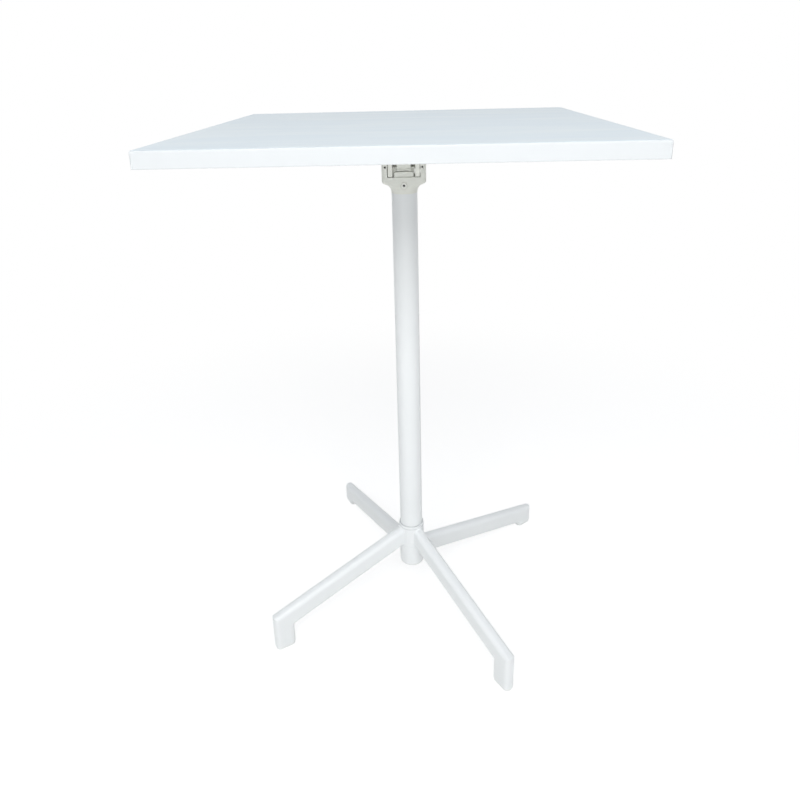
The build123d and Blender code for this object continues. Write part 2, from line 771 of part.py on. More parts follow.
bolt_seat = cap_bottom + clamp_recess_depth
with BuildPart() as clamp_bolt:
    with BuildSketch(Plane.XY.offset(bolt_seat)):
        Circle(clamp_head_radius)
    extrude(amount=-clamp_head_height)
    chamfer(clamp_bolt.faces().sort_by(Axis.Z)[0].edges(), clamp_head_margin / 2)
    with BuildSketch(Plane.XY.offset(bolt_seat - clamp_head_height)):
        RegularPolygon(clamp_socket, 6, major_radius=False)
    extrude(amount=clamp_socket_depth, mode=Mode.SUBTRACT)
    with BuildSketch(Plane.XY.offset(bolt_seat)):
        Circle(clamp_bolt_radius)
    extrude(amount=nut_plate_bottom + nut_plate_thickness + clamp_bolt_overrun - bolt_seat)
clamp_bolt.part.label = "clamp_bolt"


def leg_plane(angle):
    """Upright plane through the column axis: X runs outward at the angle, Y is up."""
    turn = math.radians(angle)
    return Plane(
        origin=(0, 0, 0),
        x_dir=(math.cos(turn), math.sin(turn), 0),
        z_dir=(math.sin(turn), -math.cos(turn), 0),
    )


def leg_tubes(angle, hub_radius, reach, root_height, slope):
    """Arm and post of one leg: a hollow arm that slopes down from the hub to an upright post."""
    upright = leg_plane(angle)
    fall = math.tan(math.radians(slope))
    post_place = reach - leg_height / 2
    corner_height = root_height - post_place * fall
    start_height = root_height - leg_start * fall
    with BuildPart() as leg:
        with BuildLine(upright) as spine:
            Polyline(
                (leg_start, start_height), (post_place, corner_height), (post_place, foot_height)
            )
        root = Plane(origin=spine.line @ 0, x_dir=upright.z_dir, z_dir=spine.line % 0)
        with BuildSketch(root):
            RectangleRounded(leg_width, leg_height, leg_corner_radius)
        sweep(path=spine.line, transition=Transition.RIGHT)
        with BuildSketch(root):
            RectangleRounded(
                leg_width - 2 * leg_wall, leg_height - 2 * leg_wall, leg_corner_radius - leg_wall
            )
        sweep(path=spine.line, transition=Transition.RIGHT, mode=Mode.SUBTRACT)
        with BuildSketch(Plane.XY):
            Circle(hub_radius)
        extrude(amount=root_height + leg_height, mode=Mode.SUBTRACT)
    corner = upright.from_local_coords(Vector(post_place, corner_height))
    mitre = Plane(origin=corner, z_dir=(spine.line % 0) + (spine.line % 1))
    arm = split(leg.part, bisect_by=mitre, keep=Keep.BOTTOM)
    post = split(leg.part, bisect_by=mitre, keep=Keep.TOP)
    return arm, post


def foot_cap(angle, reach):
    """Plastic cap for a post: a plug inside the tube and a glide below it."""
    turn = math.radians(angle)
    post_place = reach - leg_height / 2
    centre = (post_place * math.cos(turn), post_place * math.sin(turn))
    base = Plane(origin=(*centre, 0), x_dir=(math.cos(turn), math.sin(turn), 0), z_dir=(0, 0, 1))
    glide_length = leg_height - 2 * foot_inset
    glide_width = leg_width - 2 * foot_inset
    glide_height = foot_height - foot_groove_height
    plug_inset = 2 * (leg_wall + foot_plug_clearance)
    with BuildPart() as cap:
        with BuildSketch(base):
            RectangleRounded(glide_length, glide_width, leg_corner_radius - foot_inset)
        extrude(amount=glide_height)
        fillet(cap.faces().sort_by(Axis.Z)[0].edges(), foot_edge_radius)
        with BuildSketch(base.offset(glide_height)):
            RectangleRounded(
                leg_height - 2 * foot_groove_inset,
                leg_width - 2 * foot_groove_inset,
                leg_corner_radius - foot_groove_inset,
            )
        extrude(amount=foot_groove_height)
        with BuildSketch(base.offset(foot_height)):
            RectangleRounded(
                leg_height - plug_inset, leg_width - plug_inset, leg_corner_radius - leg_wall
            )
        extrude(amount=foot_plug_length)
    return cap.part


# Legs and feet: the front pair is on the upper sleeve, the rear pair on the lower one
front = front_pair_angle + base_turn_angle
rear = rear_pair_angle + base_turn_angle
front_arm = (upper_sleeve_radius, front_leg_reach, front_arm_root, front_arm_slope_angle)
rear_arm = (lower_sleeve_radius, rear_leg_reach, rear_arm_root, rear_arm_slope_angle)
leg_places = (
    ("front_left", front - front_leg_half_angle, *front_arm),
    ("front_right", front + front_leg_half_angle, *front_arm),
    ("rear_left", rear + rear_leg_half_angle, *rear_arm),
    ("rear_right", rear - rear_leg_half_angle, *rear_arm),
)
legs_and_feet = []
for name, angle, hub_radius, reach, root_height, slope in leg_places:
    arm, post = leg_tubes(angle, hub_radius, reach, root_height, slope)
    arm.label = name + "_arm"
    post.label = name + "_post"
    foot = foot_cap(angle, reach)
    foot.label = name + "_foot_cap"
    legs_and_feet += [arm, post, foot]

os.makedirs("parts", exist_ok=True)
pieces = [
    top_tray.part,
    *stiffeners,
    tilt_bracket.part,
    bracket_screws.part,
    bracket_nuts.part,
    ear_bushings.part,
    pivot_spacer.part,
    lever_pin.part,
    lever_spacers.part,
    lever_spring.part,
    spring_screw.part,
    latch_lever.part,
    head_casting.part,
    cheek_bumpers.part,
    pivot_pin.part,
    stop_pin.part,
    pin_lock_screws.part,
    pin_rings.part,
    pivot_washers.part,
    column_tube.part,
    column_spigot.part,
    head_screw.part,
    column_collar.part,
    upper_leg_sleeve,
    lower_leg_sleeve,
    base_cap.part,
    clamp_nut_plate.part,
    clamp_bolt.part,
    *legs_and_feet,
]
for piece in pieces:
    export_step(piece, f"parts/{piece.label}.step")
    print(piece.label, round(piece.volume), piece.bounding_box().size)
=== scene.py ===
"""Folding high table.

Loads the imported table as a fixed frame, gives every part its finish, adds the welds, screw
heads and rings that the plain solids lack, and sets the floor, the light and the camera.
Lengths are in metres. +Z is up, the front is -Y and the column stands on the origin.
"""

from __future__ import annotations

import json
import logging
import math
from abc import ABC, abstractmethod
from dataclasses import dataclass, replace
from enum import Enum
from typing import Any, Iterable, Mapping, Sequence

import bmesh
import bpy
from mathutils import Matrix, Vector

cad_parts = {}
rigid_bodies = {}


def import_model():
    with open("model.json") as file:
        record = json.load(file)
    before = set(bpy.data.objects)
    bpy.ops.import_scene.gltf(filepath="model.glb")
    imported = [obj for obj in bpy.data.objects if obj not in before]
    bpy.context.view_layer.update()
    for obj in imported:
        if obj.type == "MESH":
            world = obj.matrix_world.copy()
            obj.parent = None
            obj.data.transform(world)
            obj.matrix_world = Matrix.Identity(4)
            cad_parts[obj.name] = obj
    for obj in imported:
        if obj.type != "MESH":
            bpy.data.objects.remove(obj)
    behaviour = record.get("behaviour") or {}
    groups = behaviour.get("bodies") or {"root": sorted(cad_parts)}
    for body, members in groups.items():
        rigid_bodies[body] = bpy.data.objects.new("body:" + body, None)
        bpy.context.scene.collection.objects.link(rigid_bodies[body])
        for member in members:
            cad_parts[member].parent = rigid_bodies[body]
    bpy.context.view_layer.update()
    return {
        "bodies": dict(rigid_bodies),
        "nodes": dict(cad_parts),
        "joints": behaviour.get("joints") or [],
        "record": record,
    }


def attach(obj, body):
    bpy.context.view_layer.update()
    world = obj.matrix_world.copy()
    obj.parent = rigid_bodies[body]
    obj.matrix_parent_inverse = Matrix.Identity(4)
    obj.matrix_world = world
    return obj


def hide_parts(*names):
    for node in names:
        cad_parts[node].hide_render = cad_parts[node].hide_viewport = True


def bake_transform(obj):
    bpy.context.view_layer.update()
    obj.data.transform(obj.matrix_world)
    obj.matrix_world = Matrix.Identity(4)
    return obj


Colour = tuple[float, float, float]
Triple = tuple[float, float, float]
Span = tuple[float, float]
MILLIMETRE = 0.001
MERGE_DISTANCE = 0.01 * MILLIMETRE

log = logging.getLogger("high_table")


class Body(Enum):
    """The three bodies of the table that move as one piece each."""

    STAND = "stand"
    TOP = "top"
    LEVER = "lever"


class Slot(Enum):
    """The record's material slots that the added pieces use."""

    POWDER_COAT = "white_powder_coat"
    ZINC = "zinc_steel"
    SPRING = "spring_steel"


class Signal:
    """One output of a shader node, which Python's operators can reckon with."""

    def __init__(self, graph: ShaderGraph, socket: bpy.types.NodeSocket) -> None:
        """Wraps a socket.

        Args:
            graph: The graph that the socket belongs to.
            socket: The output socket.
        """
        self.graph = graph
        self.socket = socket

    def _math(self, operation: str, first: Any, second: Any) -> Signal:
        """Adds a Math node to the graph.

        Args:
            operation: The Math node's operation.
            first: A number or a signal.
            second: A number or a signal.

        Returns:
            The node's result.
        """
        return self.graph.node("ShaderNodeMath", {"operation": operation}, {0: first, 1: second})

    def __add__(self, other: Any) -> Signal:
        """Adds a number or a signal."""
        return self._math("ADD", self, other)

    def __sub__(self, other: Any) -> Signal:
        """Takes away a number or a signal."""
        return self._math("SUBTRACT", self, other)

    def __rsub__(self, other: Any) -> Signal:
        """Takes this signal away from a number."""
        return self._math("SUBTRACT", other, self)

    def __mul__(self, other: Any) -> Signal:
        """Multiplies by a number or a signal."""
        return self._math("MULTIPLY", self, other)

    def __gt__(self, other: Any) -> Signal:
        """Is 1 where this signal is the greater, and 0 elsewhere."""
        return self._math("GREATER_THAN", self, other)

    def __abs__(self) -> Signal:
        """Drops the sign."""
        return self._math("ABSOLUTE", self, 0.0)

    __radd__ = __add__

    def swing(self, reach: float) -> Signal:
        """Turns a level around one half into a shift around zero.

        Args:
            reach: How far apart the shifts of level 0 and level 1 lie.

        Returns:
            The shift.
        """
        return (self - 0.5) * reach


class ShaderGraph:
    """The node tree of a material or of the world."""

    def __init__(self, owner: bpy.types.Material | bpy.types.World) -> None:
        """Empties the owner's node tree.

        Args:
            owner: The material or world whose nodes are built.
        """
        owner.use_nodes = True
        self.tree = owner.node_tree
        self.tree.nodes.clear()

    def node(
        self,
        kind: str,
        settings: Mapping[str, Any] | None = None,
        inputs: Mapping[Any, Any] | None = None,
        output: int | str = 0,
    ) -> Signal:
        """Adds one node.

        Args:
            kind: The node's type.
            settings: What is set before the sockets.
            inputs: Values or signals for its sockets, by name or number.
            output: The output that is wanted, by name or number.

        Returns:
            That output.
        """
        node = self.tree.nodes.new(kind)
        for name, value in (settings or {}).items():
            setattr(node, name, value)
        for name, value in (inputs or {}).items():
            if isinstance(value, Signal):
                self.tree.links.new(value.socket, node.inputs[name])
            else:
                node.inputs[name].default_value = value
        return Signal(self, node.outputs[output])

    def finish(self, surface: Signal, kind: str) -> None:
        """Joins a shader to the output node.

        Args:
            surface: The shader.
            kind: The type of the output node.
        """
        node = self.tree.nodes.new(kind)
        self.tree.links.new(surface.socket, node.inputs["Surface"])

    def place(self) -> Signal:
        """Gives the place on the piece, in metres of the table's own frame."""
        return self.node("ShaderNodeTexCoord", output="Object")

    def axis(self, vector: Signal, name: str) -> Signal:
        """Gives one part of a vector, X, Y or Z."""
        return self.node("ShaderNodeSeparateXYZ", None, {0: vector}, name)

    def length(self, vector: Signal) -> Signal:
        """Gives the length of a vector."""
        return self.node("ShaderNodeVectorMath", {"operation": "LENGTH"}, {0: vector}, "Value")

    def noise(
        self,
        size: float,
        detail: float = 2.0,
        stretch: Triple = (1.0, 1.0, 1.0),
        roughness: float = 0.5,
    ) -> Signal:
        """Adds soft noise over the piece.

        Args:
            size: How large its blotches are, in metres.
            detail: How many finer layers it has.
            stretch: How much faster than the rest it changes along each axis.
            roughness: How strong the finer layers are.

        Returns:
            A level around one half.
        """
        spread = self.node("ShaderNodeMapping", None, {0: self.place(), "Scale": stretch})
        sockets = {
            "Vector": spread,
            "Scale": 1.0 / size,
            "Detail": detail,
            "Roughness": roughness,
        }
        return self.node("ShaderNodeTexNoise", None, sockets)

    def step(self, level: Signal, low: float, high: float) -> Signal:
        """Turns a level into 0 below low and 1 above high, with a smooth passage between."""
        settings = {"interpolation_type": "SMOOTHSTEP"}
        sockets = {0: level, 1: low, 2: high, 3: 0.0, 4: 1.0}
        return self.node("ShaderNodeMapRange", settings, sockets)

    def seams(self, heights: Sequence[float], half_width: float, core: float = 0.4) -> Signal:
        """Finds the joints round the column, where dust and shadow draw a thin line.

        Args:
            heights: The height of each joint.
            half_width: How far the line reaches above and below it.
            core: The share of the half width over which the line is at its full strength.

        Returns:
            1 on a joint and 0 away from it.
        """
        level = self.axis(self.place(), "Z")
        clear: Any = 1.0
        for height in heights:
            clear = self.step(abs(level - height), half_width * core, half_width) * clear
        return 1.0 - clear

    def tint(self, share: Signal, first: Any, second: Any) -> Signal:
        """Mixes two colours.

        Args:
            share: How much of the second colour shows.
            first: A colour or a signal.
            second: A colour or a signal.

        Returns:
            The mixed colour.
        """
        colours = [c if isinstance(c, Signal) else (*c, 1.0) for c in (first, second)]
        sockets = {0: share, 6: colours[0], 7: colours[1]}
        return self.node("ShaderNodeMix", {"data_type": "RGBA"}, sockets, 2)

    def bump(self, height: Signal, distance: float, strength: float) -> Signal:
        """Turns a height into a normal.

        Args:
            height: The height, from 0 to 1.
            distance: How far 1 stands out, in metres.
            strength: How much of it shows.

        Returns:
            The normal.
        """
        sockets = {"Height": height, "Distance": distance, "Strength": strength}
        return self.node("ShaderNodeBump", None, sockets)

    def principled(self, **sockets: Any) -> Signal:
        """Adds the usual surface shader, with underscores for the spaces in socket names."""
        named = {name.replace("_", " "): value for name, value in sockets.items()}
        return self.node("ShaderNodeBsdfPrincipled", None, named)

    def seen(self) -> Signal:
        """Gives 1 for the rays of the camera, of gloss and of glass, and 0 for the rest."""
        kinds = ("Is Camera Ray", "Is Glossy Ray", "Is Transmission Ray")
        rays = [self.node("ShaderNodeLightPath", output=kind) for kind in kinds]
        return (rays[0] + rays[1] + rays[2]) > 0.5


class Finish(ABC):
    """A finish, of which each kind builds its own surface."""

    @abstractmethod
    def surface(self, graph: ShaderGraph) -> Signal:
        """Builds the shader.

        Args:
            graph: The material's graph, still empty.

        Returns:
            The shader that goes to the material's output.
        """

    def make(self, name: str) -> bpy.types.Material:
        """Makes the material.

        Args:
            name: The material's name.

        Returns:
            The material.
        """
        material = bpy.data.materials.new(name)
        graph = ShaderGraph(material)
        graph.finish(self.surface(graph), "ShaderNodeOutputMaterial")
        return material


@dataclass(frozen=True)
class PowderCoat(Finish):
    """White powder paint, baked on: a satin skin with a fine orange peel and a faint cloud."""

    colour: Colour
    cloud: Colour
    roughness: float = 0.36
    cloud_size: float = 0.16
    cloud_edges: Span = (0.3, 0.7)
    cloud_dulling: float = 0.03
    peel_size: float = 0.0016
    peel_height: float = 0.00002
    peel_share: float = 0.8
    peel_dulling: float = 0.08
    grain_size: float = 0.0004
    bump_strength: float = 0.6
    refraction: float = 1.5
    seam_heights: tuple[float, ...] = ()
    seam_half_width: float = 0.8 * MILLIMETRE
    seam_colour: Colour = (0.66, 0.68, 0.69)

    def surface(self, graph: ShaderGraph) -> Signal:
        """Builds the clouded colour, with a thin dark line at each seam."""
        share = graph.step(graph.noise(self.cloud_size, detail=3.0), *self.cloud_edges)
        colour = graph.tint(share, self.colour, self.cloud)
        if self.seam_heights:
            seams = graph.seams(self.seam_heights, self.seam_half_width)
            colour = graph.tint(seams, colour, self.seam_colour)
        peel = graph.noise(self.peel_size, detail=1.0)
        grain = graph.noise(self.grain_size, detail=1.0)
        height = peel * self.peel_share + grain * (1.0 - self.peel_share)
        dulling = peel.swing(self.peel_dulling) + share.swing(self.cloud_dulling)
        return graph.principled(
            Base_Color=colour,
            Roughness=self.roughness + dulling,
            Normal=graph.bump(height, self.peel_height, self.bump_strength),
            IOR=self.refraction,
        )


@dataclass(frozen=True)
class TrayPaint(Finish):
    """The powder paint of the pressed top. Its flat top is painted bluer and darker than its sides
    as a painted reflection of the sky. Lighter streaks of painted reflection also dull the skin
    like wiping marks, and the sides darken at their foot in painted shade.
    """

    colour: Colour
    streak_reflection: Colour
    side: Colour
    side_bend_shade: Colour
    bend_shade_height: float = 1015.0 * MILLIMETRE
    bend_shade_band: float = 1.8 * MILLIMETRE
    flat_edges: Span = (0.7, 0.98)
    roughness: float = 0.32
    cloud_size: float = 0.26
    cloud_stretch: Triple = (1.0, 1.6, 1.0)
    cloud_share: float = 0.6
    streak_size: float = 0.3
    streak_stretch: Triple = (1.0, 7.0, 1.0)
    streak_edges: Span = (0.42, 0.6)
    streak_dulling: float = 0.07
    peel_size: float = 0.0018
    peel_height: float = 0.00002
    peel_dulling: float = 0.06
    bump_strength: float = 0.6
    refraction: float = 1.38

    def surface(self, graph: ShaderGraph) -> Signal:
        """Builds the flat top with its painted reflection and painted reflection streaks, and the
        plain sides with painted shade at their foot.
        """
        facing = graph.axis(graph.node("ShaderNodeTexCoord", output="Normal"), "Z")
        # The sheet takes one colour on its flat top and another on its sides, by which way each
        # faces: the top's bluer, darker tone is painted sky reflection.
        flat = graph.step(facing, *self.flat_edges)
        clouds = graph.noise(self.cloud_size, 1.0, self.cloud_stretch)
        wipes = graph.noise(self.streak_size, 4.0, self.streak_stretch)
        level = clouds * self.cloud_share + wipes * (1.0 - self.cloud_share)
        # Lighter streaks on the top are painted reflection; the same streaks dull the roughness
        # like wiping marks.
        reflection_streaks = graph.step(level, *self.streak_edges)
        height = graph.axis(graph.place(), "Z")
        # A darker band at the foot of the sides is painted shade where the sheet bends under.
        above = graph.step(height, self.bend_shade_height, self.bend_shade_height + self.bend_shade_band)
        side = graph.tint(above, self.side_bend_shade, self.side)
        skin = graph.tint(reflection_streaks, self.colour, self.streak_reflection)
        peel = graph.noise(self.peel_size, detail=1.0)
        dulling = peel.swing(self.peel_dulling) + reflection_streaks * flat * self.streak_dulling
        return graph.principled(
            Base_Color=graph.tint(flat, side, skin),
            Roughness=self.roughness + dulling,
            Normal=graph.bump(peel, self.peel_height, self.bump_strength),
            IOR=self.refraction,
        )


@dataclass(frozen=True)
class CastPaint(Finish):
    """Powder paint over cast aluminium: the sand's grain stays faintly in the skin."""

    colour: Colour
    hollow: Colour
    roughness: float = 0.46
    hollow_size: float = 0.03
    hollow_edges: Span = (0.25, 0.75)
    hollow_share: float = 0.6
    pit_size: float = 0.0022
    pit_height: float = 0.00008
    pit_sharpness: float = 0.6
    pit_dulling: float = 0.2
    bump_strength: float = 0.5
    refraction: float = 1.5

    def surface(self, graph: ShaderGraph) -> Signal:
        """Builds the pitted skin, slightly greyer in broad patches."""
        pits = graph.noise(self.pit_size, detail=3.0, roughness=self.pit_sharpness)
        patches = graph.step(graph.noise(self.hollow_size, detail=3.0), *self.hollow_edges)
        return graph.principled(
            Base_Color=graph.tint(patches * self.hollow_share, self.colour, self.hollow),
            Roughness=self.roughness + pits.swing(self.pit_dulling),
            Normal=graph.bump(pits, self.pit_height, self.bump_strength),
            IOR=self.refraction,
        )


@dataclass(frozen=True)
class SocketScrewPaint(Finish):
    """A painted screw head whose socket is painted near-black, as painted shade down in the hole.
    The screw lies along Y at its height.
    """

    colour: Colour
    socket: Colour
    height: float
    socket_radius: float = 2.35 * MILLIMETRE
    socket_edge: float = 1.06
    roughness: float = 0.4
    skin_size: float = 0.0012
    skin_height: float = 0.00003
    skin_dulling: float = 0.15
    bump_strength: float = 0.5
    refraction: float = 1.5

    def surface(self, graph: ShaderGraph) -> Signal:
        """Builds the painted head round the socket's painted shade."""
        across = {"Location": (0.0, 0.0, -self.height), "Scale": (1.0, 0.0, 1.0)}
        from_axis = graph.node("ShaderNodeMapping", None, {0: graph.place(), **across})
        edge = self.socket_radius * self.socket_edge
        head = graph.step(graph.length(from_axis), self.socket_radius, edge)
        skin = graph.noise(self.skin_size, detail=2.0)
        return graph.principled(
            # Inside the socket's radius the colour is near-black: painted shade of the deep hole.
            Base_Color=graph.tint(head, self.socket, self.colour),
            Roughness=self.roughness + skin.swing(self.skin_dulling),
            Normal=graph.bump(skin, self.skin_height, self.bump_strength),
            IOR=self.refraction,
        )


@dataclass(frozen=True)
class PlatedSteel(Finish):
    """Bare or zinc plated steel, with the fine turning or rolling marks along one axis."""

    colour: Colour
    dull: Colour
    roughness: float = 0.3
    mark_size: float = 0.004
    mark_stretch: Triple = (1.0, 12.0, 12.0)
    mark_height: float = 0.00002
    mark_dulling: float = 0.18
    stain_size: float = 0.009
    stain_edges: Span = (0.35, 0.75)
    stain_dulling: float = 0.1
    bump_strength: float = 0.5

    def surface(self, graph: ShaderGraph) -> Signal:
        """Builds the marked metal with its dull stains."""
        lines = graph.noise(self.mark_size, 3.0, self.mark_stretch)
        stains = graph.step(graph.noise(self.stain_size, detail=2.0), *self.stain_edges)
        dulling = lines.swing(self.mark_dulling) + stains * self.stain_dulling
        return graph.principled(
            Base_Color=graph.tint(stains, self.colour, self.dull),
            Roughness=self.roughness + dulling,
            Normal=graph.bump(lines, self.mark_height, self.bump_strength),
            Metallic=1.0,
        )


@dataclass(frozen=True)
class Moulding(Finish):
    """A moulded plastic or rubber part with a fine etched grain."""

    colour: Colour
    shade: Colour
    roughness: float = 0.5
    shade_size: float = 0.012
    shade_edges: Span = (0.3, 0.75)
    grain_size: float = 0.0009
    grain_height: float = 0.00004
    grain_dulling: float = 0.2
    bump_strength: float = 0.4
    refraction: float = 1.46

    def surface(self, graph: ShaderGraph) -> Signal:
        """Builds the grained skin, slightly shaded in small patches."""
        grain = graph.noise(self.grain_size, detail=2.0)
        share = graph.step(graph.noise(self.shade_size, detail=2.0), *self.shade_edges)
        return graph.principled(
            Base_Color=graph.tint(share, self.colour, self.shade),
            Roughness=self.roughness + grain.swing(self.grain_dulling),
            Normal=graph.bump(grain, self.grain_height, self.bump_strength),
            IOR=self.refraction,
        )


@dataclass(frozen=True)
class FloorPaint(Finish):
    """The floor: white to the eye and pale to the light that it sends back.

    Near the table it takes the soft shadow, and further off it is an even white.
    """

    lit: Colour = (0.42, 0.42, 0.42)
    bounce: Colour = (0.8, 0.79, 0.77)
    glow: float = 0.7
    shade_reach: Span = (0.7, 1.8)

    def surface(self, graph: ShaderGraph) -> Signal:
        """Builds what the eye sees, the shaded middle and the white, and the pale rest."""
        lit = graph.node("ShaderNodeBsdfDiffuse", None, {"Color": (*self.lit, 1.0)})
        glow = graph.node("ShaderNodeEmission", None, {"Strength": self.glow})
        near = graph.node("ShaderNodeAddShader", None, {0: lit, 1: glow})
        white = graph.node("ShaderNodeEmission", None, {"Strength": 1.0})
        distance = graph.step(graph.length(graph.place()), *self.shade_reach)
        shown = graph.node("ShaderNodeMixShader", None, {0: distance, 1: near, 2: white})
        plain = graph.node("ShaderNodeBsdfDiffuse", None, {"Color": (*self.bounce, 1.0)})
        return graph.node("ShaderNodeMixShader", None, {0: graph.seen(), 1: plain, 2: shown})


class FinishShelf:
    """The finishes of the table, each made once."""

    def __init__(self) -> None:
        """Makes every finish."""
        # The tray's top colour, bluer and darker than its sides, and its lighter streaks are
        # painted reflection; its darker side foot is painted shade.
        tray = TrayPaint(
            colour=(0.675, 0.77, 0.833),
            streak_reflection=(0.75, 0.825, 0.865),
            side=(0.75, 0.775, 0.79),
            side_bend_shade=(0.62, 0.64, 0.65),
        )
        coat = PowderCoat(colour=(0.84, 0.863, 0.87), cloud=(0.86, 0.88, 0.888))
        seams = tuple(height * MILLIMETRE for height in (85.0, 131.0, 177.0, 183.2))
        # The screw's near-black socket colour is painted shade.
        screw = SocketScrewPaint((0.93, 0.93, 0.88), (0.02, 0.02, 0.02), 931.4 * MILLIMETRE)
        # The head's paint is a warmer copy of the white paint: painted warm light bounced into the
        # shade under the top.
        head = CastPaint((0.84, 0.85, 0.79), (0.79, 0.8, 0.74))
        # The bracket's paint is a lighter copy of the head's white paint: painted light on the
        # ears.
        bracket = CastPaint((0.93, 0.935, 0.87), (0.89, 0.895, 0.83))
        zinc = PlatedSteel((0.72, 0.73, 0.74), (0.6, 0.61, 0.62))
        spring = PlatedSteel((0.5, 0.51, 0.53), (0.42, 0.43, 0.45), 0.34)
        nylon = Moulding((0.86, 0.85, 0.8), (0.82, 0.8, 0.74), 0.45)
        plastic = Moulding((0.86, 0.875, 0.87), (0.83, 0.845, 0.84))
        rubber = Moulding((0.05, 0.05, 0.05), (0.07, 0.07, 0.07), 0.75)
        self.tray = tray.make("tray_paint")
        self.frame = coat.make("frame_paint")
        self.hub = replace(coat, seam_heights=seams).make("hub_paint")
        self.head_screw = screw.make("head_screw_paint")
        self.head = head.make("head_warm_bounce_paint")
        self.bracket = bracket.make("bracket_lit_paint")
        self.zinc = zinc.make("zinc_plate")
        self.spring = spring.make("spring_steel")
        self.nylon = nylon.make("nylon")
        self.plastic = plastic.make("foot_plastic")
        self.rubber = rubber.make("rubber")


def join_up(mesh: bmesh.types.BMesh) -> None:
    """Merges the doubles of a mesh and points its faces outwards."""
    bmesh.ops.remove_doubles(mesh, verts=mesh.verts, dist=MERGE_DISTANCE)
    bmesh.ops.recalc_face_normals(mesh, faces=mesh.faces)


def turned(
    mesh: bmesh.types.BMesh, profile: Sequence[tuple[float, float]], sides: int, place: Matrix
) -> None:
    """Adds a turned shape to a mesh.

    Args:
        mesh: The mesh in the making.
        profile: Radius and height of each point of the half outline, in metres.
        sides: How many sides the turned shape has.
        place: Where it goes. It is turned about the local Z axis.
    """
    points = [mesh.verts.new((radius, 0.0, height)) for radius, height in profile]
    edges = [mesh.edges.new(pair) for pair in zip(points, points[1:])]
    bmesh.ops.spin(
        mesh,
        geom=points + edges,
        cent=(0.0, 0.0, 0.0),
        axis=(0.0, 0.0, 1.0),
        angle=math.tau,
        steps=sides,
        use_merge=True,
    )
    # The new points all hang together with the outline, so its edges lead to every one.
    found = set(points)
    reached = list(points)
    while reached:
        for edge in reached.pop().link_edges:
            for vert in edge.verts:
                if vert not in found:
                    found.add(vert)
                    reached.append(vert)
    bmesh.ops.transform(mesh, matrix=place, verts=list(found))


def ring_edges(verts: Iterable[bmesh.types.BMVert]) -> list[bmesh.types.BMEdge]:
    """Gives the edges that join some vertices.

    Args:
        verts: The vertices.

    Returns:
        Every edge that has both ends among them.
    """
    chosen = set(verts)
    return list({e for v in chosen for e in v.link_edges if set(e.verts) <= chosen})


def of_kind(geometry: Iterable[Any], kind: type) -> list[Any]:
    """Picks the vertices, the edges or the faces out of mixed geometry."""
    return [item for item in geometry if isinstance(item, kind)]


@dataclass(frozen=True)
class Bend:
    """How a springy piece bends over to another body."""

    body: Body
    start: Vector
    end: Vector


@dataclass(frozen=True)
class Piece:
    """What a new piece is called, and what it belongs to."""

    name: str
    material: bpy.types.Material
    body: Body
    slot: Slot
    stands_for: tuple[str, ...] = ()
    bend: Bend | None = None
    sharp_above: float = math.radians(35.0)

    def make(self, mesh: bmesh.types.BMesh) -> bpy.types.Object:
        """Turns a mesh in the making into a piece of the table.

        Args:
            mesh: The finished bmesh, which is freed.

        Returns:
            The piece.
        """
        data = bpy.data.meshes.new(self.name)
        mesh.to_mesh(data)
        mesh.free()
        return self.finish(data)

    def finish(self, data: bpy.types.Mesh) -> bpy.types.Object:
        """Gives a mesh its object and finish, and ties it to its body unless it has a bend.

        Args:
            data: The mesh, in place in the table's own frame.

        Returns:
            The piece.
        """
        data.name = self.name
        data.shade_smooth()
        data.set_sharp_from_angle(angle=self.sharp_above)
        data.materials.clear()
        data.materials.append(self.material)
        piece = bpy.data.objects.new(self.name, data)
        bpy.context.scene.collection.objects.link(piece)
        if self.bend:
            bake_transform(piece)
        else:
            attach(piece, self.body.value)
        if self.stands_for:
            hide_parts(*self.stands_for)
        log.info("%s: %d faces on the %s", self.name, len(data.polygons), self.body.value)
        return piece


@dataclass(frozen=True)
class WeldBead:
    """A weld bead with its ripples, laid along a closed line."""

    radius: float = 1.9 * MILLIMETRE
    ripple: float = 0.12
    points_a_ripple: int = 3
    section_steps: int = 2

    def lay(self, line: Sequence[Vector], piece: Piece) -> bpy.types.Object:
        """Lays the bead.

        Args:
            line: The points of its middle line, evenly spaced. The last meets the first.
            piece: What the bead is called and belongs to.

        Returns:
            The bead.
        """
        curve = bpy.data.curves.new(piece.name, "CURVE")
        curve.dimensions = "3D"
        curve.bevel_depth = self.radius
        curve.bevel_resolution = self.section_steps
        spline = curve.splines.new("POLY")
        spline.points.add(len(line) - 1)
        for number, (point, place) in enumerate(zip(spline.points, line)):
            point.co = (*place, 1.0)
            phase = number % self.points_a_ripple / self.points_a_ripple
            point.radius = 1.0 + self.ripple * math.cos(math.tau * phase)
        spline.use_cyclic_u = True
        carrier = bpy.data.objects.new(piece.name, curve)
        data = bpy.data.meshes.new_from_object(carrier)
        bpy.data.objects.remove(carrier)
        bpy.data.curves.remove(curve)
        return piece.finish(data)


@dataclass
class Assembly(ABC):
    """A sub-assembly: its CAD parts get their finish, and what they lack is added.
    """

    shelf: FinishShelf
    frame: Mapping[str, Any]

    @abstractmethod
    def dress(self) -> None:
        """Gives the CAD parts their finish."""

    @abstractmethod
    def build(self) -> None:
        """Adds the pieces that the plain solids lack."""

    def _paint(self, material: bpy.types.Material, *nodes: str) -> None:
        """Gives CAD parts a finish.

        Args:
            material: The finish.
            nodes: The names of the parts.
        """
        for name in nodes:
            piece = self.frame["nodes"][name]
            if not piece.material_slots:
                piece.data.materials.append(material)
            for slot in piece.material_slots:
                slot.material = material
            log.info("%s: %s", name, material.name)


